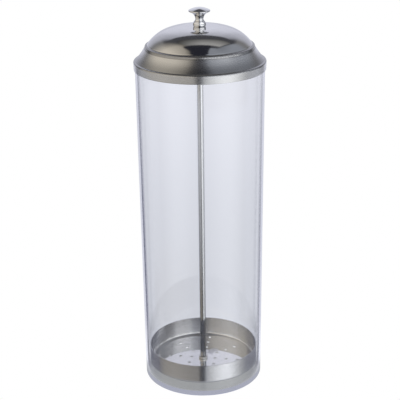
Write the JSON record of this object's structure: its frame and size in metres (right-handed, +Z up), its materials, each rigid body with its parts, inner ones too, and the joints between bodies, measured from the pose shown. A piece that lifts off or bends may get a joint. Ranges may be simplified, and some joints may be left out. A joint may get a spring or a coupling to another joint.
{
  "type": "straw dispenser",
  "caption": "Tall clear acrylic jar with a domed stainless lid; its knob lifts a centre rod and a drained tray, so that the drinking straws rise with it.",
  "frame": {"origin": "centre of the jar's flat base", "axes": "+Z up along the centre rod, +Y away from the viewer of the picture's front, +X to the right"},
  "size_m": [0.1044, 0.1044, 0.3131],
  "materials": {
    "clear_acrylic": "clear moulded acrylic, gloss, with a faint violet tint at its edges",
    "lid_stainless": "polished dome, satin flare and fine circular brushing on the band",
    "knob_chrome": "turned and bright plated",
    "rod_chrome": "bright plated bar",
    "tray_stainless": "satin wall with fine circular brushing, polished floor",
    "hardware_plated": "bright zinc or nickel plate"
  },
  "bodies": {
    "jar": {"jar": "clear_acrylic"},
    "lift_assembly": {"lid_shell": "lid_stainless", "knob": "knob_chrome", "lift_rod": "rod_chrome", "lid_washer": "hardware_plated", "lid_lock_nut": "hardware_plated", "tray": "tray_stainless", "tray_top_nut": "hardware_plated", "tray_washer": "hardware_plated", "tray_bottom_nut": "hardware_plated"}
  },
  "joints": [
    {"name": "lift", "type": "slide", "parent": "jar", "child": "lift_assembly", "axis": [0, 0, 1], "range_m": [0, 0.275]}
  ]
}
